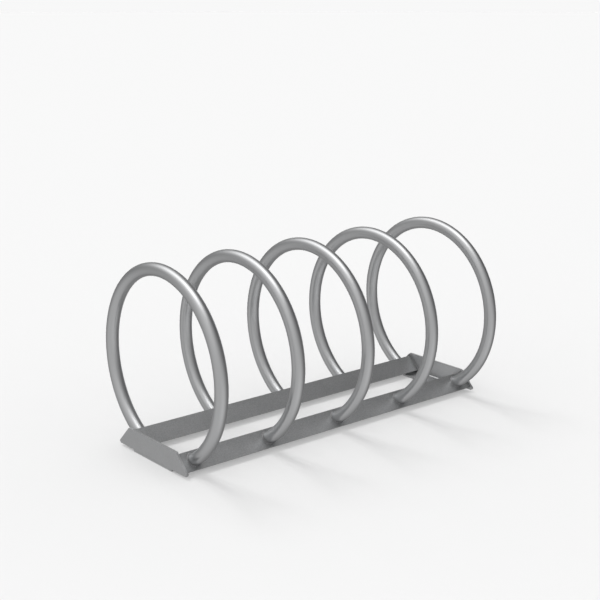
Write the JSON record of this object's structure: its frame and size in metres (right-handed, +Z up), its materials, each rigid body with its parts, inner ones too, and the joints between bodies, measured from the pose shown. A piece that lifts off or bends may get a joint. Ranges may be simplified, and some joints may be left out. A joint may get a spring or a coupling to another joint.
{
  "type": "floor bike rack",
  "caption": "Floor bike rack: a row of round tube hoops welded upright on parallel angle rails, with an end plate and an anchor foot at each end; a wheel parks between neighbouring hoops.",
  "frame": {"origin": "on the floor, under the middle of the rack", "axes": "+X along the row of hoops to the right end, +Y across the row to the far side, +Z up"},
  "size_m": [1.529, 0.782, 0.7557],
  "materials": {
    "hoop_steel": "satin steel tube with soft highlights along its length",
    "rail_steel": "blasted steel, matt grey and finely speckled",
    "plate_steel": "blasted steel, matt grey with a very fine grain",
    "weld_steel": "satin grey weld bead, slightly uneven"
  },
  "bodies": {
    "root": {"hoop_1": "hoop_steel", "hoop_2": "hoop_steel", "hoop_3": "hoop_steel", "hoop_4": "hoop_steel", "hoop_5": "hoop_steel", "near_rail": "rail_steel", "far_rail": "rail_steel", "left_end_plate": "plate_steel", "right_end_plate": "plate_steel", "left_foot": "plate_steel", "right_foot": "plate_steel", "hoop_1_near_weld": "weld_steel", "hoop_1_far_weld": "weld_steel", "hoop_2_near_weld": "weld_steel", "hoop_2_far_weld": "weld_steel", "hoop_3_near_weld": "weld_steel", "hoop_3_far_weld": "weld_steel", "hoop_4_near_weld": "weld_steel", "hoop_4_far_weld": "weld_steel", "hoop_5_near_weld": "weld_steel", "hoop_5_far_weld": "weld_steel", "near_rail_left_weld": "weld_steel", "near_rail_right_weld": "weld_steel", "far_rail_left_weld": "weld_steel", "far_rail_right_weld": "weld_steel", "left_foot_weld": "weld_steel", "right_foot_weld": "weld_steel"}
  },
  "joints": []
}
